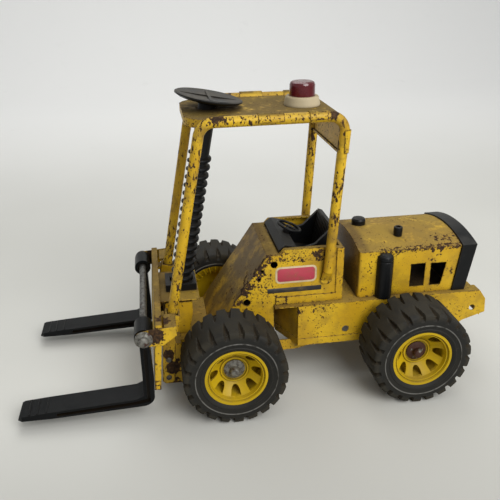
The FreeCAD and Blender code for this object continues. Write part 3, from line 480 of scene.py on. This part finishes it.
def sticker(name, outline, side, x, y, z, thick, material, tilt=0):
    """Thin film on a side panel, its edge rounded over."""
    bm = bmesh.new()
    turn = Matrix.Rotation(math.radians(tilt), 2)
    layers = []
    for shrink, lift in ((0, 0), (0, thick * 0.7), (0.15, thick)):
        ring = []
        for a, b in outline:
            flat = turn @ Vector((a * (1 - shrink / 20), b * (1 - shrink / 10)))
            ring.append(bm.verts.new((side * (x + lift) * MM, (y + flat.x) * MM,
                                      (z + flat.y) * MM)))
        layers.append(ring)
    for low, high in zip(layers, layers[1:]):
        for i in range(len(outline)):
            j = (i + 1) % len(outline)
            bm.faces.new((low[i], low[j], high[j], high[i]))
    bm.faces.new(layers[0])
    bm.faces.new(layers[-1])
    return new_piece(name, bm, material, "chassis")


def build_stickers():
    red = printed("badge_red", STICKER_RED)
    cream = printed("badge_cream", STICKER_CREAM)
    black = printed("stripe_black", STICKER_BLACK)
    for hand, side in (("left", 1), ("right", -1)):
        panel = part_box("cab_tub")[1].x / MM - 1.3
        sticker(f"badge_border_{hand}", rounded_rectangle(44, 19, 5), side, panel, 37.5, 127,
                0.14, cream)
        sticker(f"badge_{hand}", rounded_rectangle(40, 15, 3.4), side, panel, 37.5, 127,
                0.24, red)
        sticker(f"stripe_{hand}", rounded_rectangle(58, 5.4, 1), side, panel, 36, 109.6,
                0.16, black)


# --- dressing the CAD pieces -----------------------------------------------------------------

def dress_all():
    roof = enamel("enamel_roof", dust=0.92, dust_colour=DUST_OLIVE, chips=0.012, specks=0.02,
                  shift=0.008, seams=0.70,
                  bands=[((56, -18, 280), (70, 20, 300), 0.03),
                         ((-70, -18, 280), (-56, 20, 300), 0.03),
                         ((54, 40, 240), (70, 95, 300), 0.05)])
    cab = enamel("enamel_cab", dust=0.85, chips=0.022, specks=0.020, seams=0.12, wear=0.52,
                 blooms=[((48, -18, 114), 13, 0.21), ((48, -4, 132), 12, 0.20),
                         ((48, 3, 144), 10, 0.18), ((48, 62, 148), 12, 0.14),
                         ((48, 22, 97), 12, 0.16), ((48, -26, 100), 10, 0.13),
                         ((20, -30, 96), 16, 0.10), ((34, -12, 122), 12, 0.12)],
                 bands=[((45, -50, 60), (50, 10, 152), 0.025),
                        ((44, 8, 143), (50, 88, 152), 0.075)],
                 # Brown smudges and painted shade over the cab's front faces.
                 soiled_and_shaded=[((-60, -60, 58), (60, 10, 150), 0.92)])
    cover = enamel("enamel_hood", dust=0.72, chips=0.016, specks=0.018, shift=0.012, wear=0.50,
                   # Painted shade inside the hood, seen through its windows.
                   shaded_hollows=[((-60, 100, 90), (60, 240, 160))],
                   bands=[((45, 130, 144.5), (52, 224, 149), 0.135),
                          ((30, 160, 145), (50, 224, 152), 0.04),
                          ((-52, 118, 141), (-38, 222, 151), 0.05)],
                   blooms=[((30, 205, 150), 20, 0.12), ((47, 190, 138), 14, 0.12),
                           ((48, 112, 99), 12, 0.10), ((44, 212, 120), 12, 0.12)],
                   # Painted shade and brown smudges on the hood's face towards the cab.
                   soiled_and_shaded=[((-60, 98, 90), (60, 112, 156), 0.80)])
    chassis = enamel("enamel_chassis", dust=0.72, chips=0.014, specks=0.028, shift=0.006,
                     # Painted shade on closed-in surfaces inside the chassis.
                     wear=0.50, shaded_hollows=[((-47, 106, 92), (47, 214, 94)),
                                         ((-55.4, 38, 38), (55.4, 242, 91.6))],
                     bands=[((52, 40, 86), (60, 105, 96), 0.04),
                            ((44, -90, 34), (48, 80, 46), 0.05)],
                     blooms=[((56, 42, 90), 10, 0.14), ((46, 60, 42), 14, 0.14)],
                     soiled_and_shaded=[((-60, 12, 40), (60, 37, 96), 0.5)])
    carriage = enamel("enamel_carriage", dust=0.75, chips=0.012, specks=0.01, shift=0.003,
                      blooms=[((96, -112, 97), 13, 0.42), ((82, -104, 104), 11, 0.30),
                              ((-96, -112, 97), 13, 0.40), ((94, -112, 60), 10, 0.16),
                              ((94, -112, 38), 10, 0.16)],
                      soiled_and_shaded=[((-95, -118, 96), (93, -90, 112), 0.55)])
    base = enamel("enamel_mast_base", dust=0.9, chips=0.02, specks=0.01,
                  blooms=[((57, -97, 38), 12, 0.46), ((57, -95, 30), 9, 0.40),
                          ((-57, -98, 40), 13, 0.42), ((34, -80, 98), 10, 0.10),
                          ((56, -94, 14), 9, 0.24)],
                  soiled_and_shaded=[((-60, -105, 92), (60, -60, 104), 0.6)])
    legs = enamel("enamel_legs", dust=0.35, chips=0.072, specks=0.056, wear=0.78, shift=0.004,
                  seams=0.60, grain=(1, 1, 0.5),
                  blooms=[((59, -99, 50), 9, 0.42), ((58, -97, 34), 10, 0.40),
                          ((-58, -99, 40), 12, 0.4), ((59, -44, 297), 11, 0.21),
                          ((56, 66, 297), 12, 0.24), ((55, 78, 262), 12, 0.12),
                          ((-58, -50, 296), 12, 0.3), ((-55, 70, 296), 12, 0.3)])
    black = moulded("black_plastic", BLACK, BLACK_DUST, dust=0.55)
    plain = moulded("black_plain_plastic", BLACK, BLACK_DUST, dust=0.35, edge_light=0.0)
    gloss = moulded("black_gloss_plastic", BLACK, BLACK_DUST, dust=0.05, rough=0.34,
                    edge_light=0.08, shine=0.11)
    knob = moulded("black_dusty_plastic", BLACK, KNOB_DUST, dust=0.85, edge_light=0.15)
    cream = moulded("cream_plastic", CREAM, CREAM_DUST, dust=0.5, rough=0.5, grime_and_shade=0.7)
    rim = moulded("rim_plastic", RIM_YELLOW, RIM_DUST, dust=0.65, rough=0.36, grime_and_shade=0.9,
                  edge_light=0.10)
    axle = plated("plated_axle")
    rod = plated("plated_rod", ROD_STEEL, ROD_DARK, rust=-0.03, metallic=0.6)
    caps = plated("plated_caps", rust=-0.01, metallic=0.5,
                  rusted=((-120, 120, 30), (120, 190, 80)))

    for node, material, bevel in (
            ("chassis_frame", chassis, 0.9), ("rear_crossmember", chassis, 0.4),
            ("mast_base", base, 0.9), ("cab_tub", cab, 0.9),
            ("roll_frame_left", legs, 0.35), ("roll_frame_right", legs, 0.35),
            ("roof_plate", roof, 0.4), ("tube_rivets", caps, 0.15),
            ("cab_moulding", black, 1.0), ("steering_wheel", black, 0.3),
            ("hood", cover, 0.9), ("radiator_grille", black, 0.7), ("air_cleaner", plain, 0),
            ("filler_cap", black, 0.5), ("exhaust_stub", black, 0.4),
            ("beacon_base", cream, 0.5), ("beacon_lens", red_lens(), 0.7),
            ("front_axle", axle, 0.3), ("rear_axle", axle, 0.3), ("axle_caps", caps, 0.25),
            ("lift_screw", plain, 0.3), ("lift_knob", knob, 0.6),
            ("screw_bearing_top", black, 0.3), ("screw_bearing_foot", black, 0.3),
            ("carriage_plate", carriage, 0.5), ("guide_sleeve_left", carriage, 0.5),
            ("guide_sleeve_right", carriage, 0.5), ("nut_bracket", carriage, 0.4),
            ("lift_nut", black, 0.6), ("fork_rod", rod, 0.3), ("fork_rod_caps", caps, 0.25),
            ("fork_left", gloss, 0.9), ("fork_right", gloss, 0.9)):
        dress(node, material, bevel)
    for end in ("front", "rear"):
        for hand in ("left", "right"):
            dress(f"rim_{end}_{hand}", rim, 0.35)


# --- studio ----------------------------------------------------------------------------------

def build_studio():
    """Pale sweep with painted light towards the back and painted shade near the camera, and soft
    overhead light; build_camera places the camera above the toy's left front side.
    """
    s = Shade("studio_paper")
    tone = s.mix(s.step(s.noise(0.5), 0.3, 0.7), PAPER, PAPER_LIGHT)
    depth = s.component(s.place, 0)
    # Painted light brightens the paper towards the back; painted shade darkens it near the
    # camera.
    tone = s.mix(s.step(depth, -0.25, -1.7), tone, PAPER_FAR_LIT)
    tone = s.mix(s.step(depth, 0.02, 0.30), tone, PAPER_NEAR_SHADED)
    scuffs = s.scaled(s.step(s.noise(0.09, detail=6, roughness=0.7), 0.60, 0.80), 0.10)
    tone = s.mix(scuffs, tone, PAPER_SCUFF)
    paper = s.finish(Base_Color=tone, Roughness=0.8)
    bm = bmesh.new()
    reach, bend, rise = 1.6, 0.9, 2.2
    section = [(1.8, 0.0), (-reach, 0.0)]
    section += [(-reach - bend * math.sin(a), bend * (1 - math.cos(a)))
                for a in [math.pi / 2 * k / 12 for k in range(1, 13)]]
    section.append((-reach - bend, bend + rise))
    rows = [[bm.verts.new((x, y, z)) for x, z in section] for y in (-3.5, 3.5)]
    for i in range(len(section) - 1):
        bm.faces.new((rows[0][i], rows[0][i + 1], rows[1][i + 1], rows[1][i]))
    mesh = bpy.data.meshes.new("studio_sweep")
    bmesh.ops.recalc_face_normals(bm, faces=bm.faces)
    bm.to_mesh(mesh)
    bm.free()
    mesh.materials.append(paper)
    mesh.shade_smooth()
    sweep = bpy.data.objects.new("studio_sweep", mesh)
    bpy.context.scene.collection.objects.link(sweep)

    for name, spot, size, power in (("key", (1.35, 0.65, 1.15), 1.2, 27),
                                    ("top", (0.2, 0.5, 1.9), 1.6, 9),
                                    ("back", (-1.0, -0.1, 1.9), 1.4, 13)):
        light = bpy.data.lights.new(name, "AREA")
        light.shape, light.size, light.energy = "SQUARE", size, power
        lamp = bpy.data.objects.new(name, light)
        lamp.location = spot
        aim = Vector((0, 0, 0.12)) - lamp.location
        lamp.rotation_euler = aim.to_track_quat("-Z", "Y").to_euler()
        bpy.context.scene.collection.objects.link(lamp)

    world = bpy.data.worlds.new("studio")
    world.use_nodes = True
    sky = world.node_tree.nodes["Background"]
    sky.inputs["Color"].default_value = SKY
    sky.inputs["Strength"].default_value = 0.44
    bpy.context.scene.world = world
    bpy.context.scene.view_settings.view_transform = "Standard"


def build_camera():
    spot = Vector((0.6197, -0.1003, 0.4159))
    yaw, pitch, roll = 0.155, -0.418, -0.012
    forward = Vector((-math.cos(yaw) * math.cos(pitch), math.sin(yaw) * math.cos(pitch),
                      math.sin(pitch)))
    level = Vector((math.sin(yaw), math.cos(yaw), 0))
    upright = level.cross(forward)
    right = math.cos(roll) * level + math.sin(roll) * upright
    up = right.cross(forward)
    camera = bpy.data.objects.new("camera", bpy.data.cameras.new("camera"))
    camera.data.sensor_width, camera.data.lens = 36, 45.15
    turn = Matrix((right, up, -forward)).transposed().to_4x4()
    camera.matrix_world = Matrix.Translation(spot) @ turn
    bpy.context.scene.collection.objects.link(camera)
    bpy.context.scene.camera = camera


dress_all()
build_tyres()
build_stickers()
build_studio()
build_camera()

bpy.context.view_layer.update()
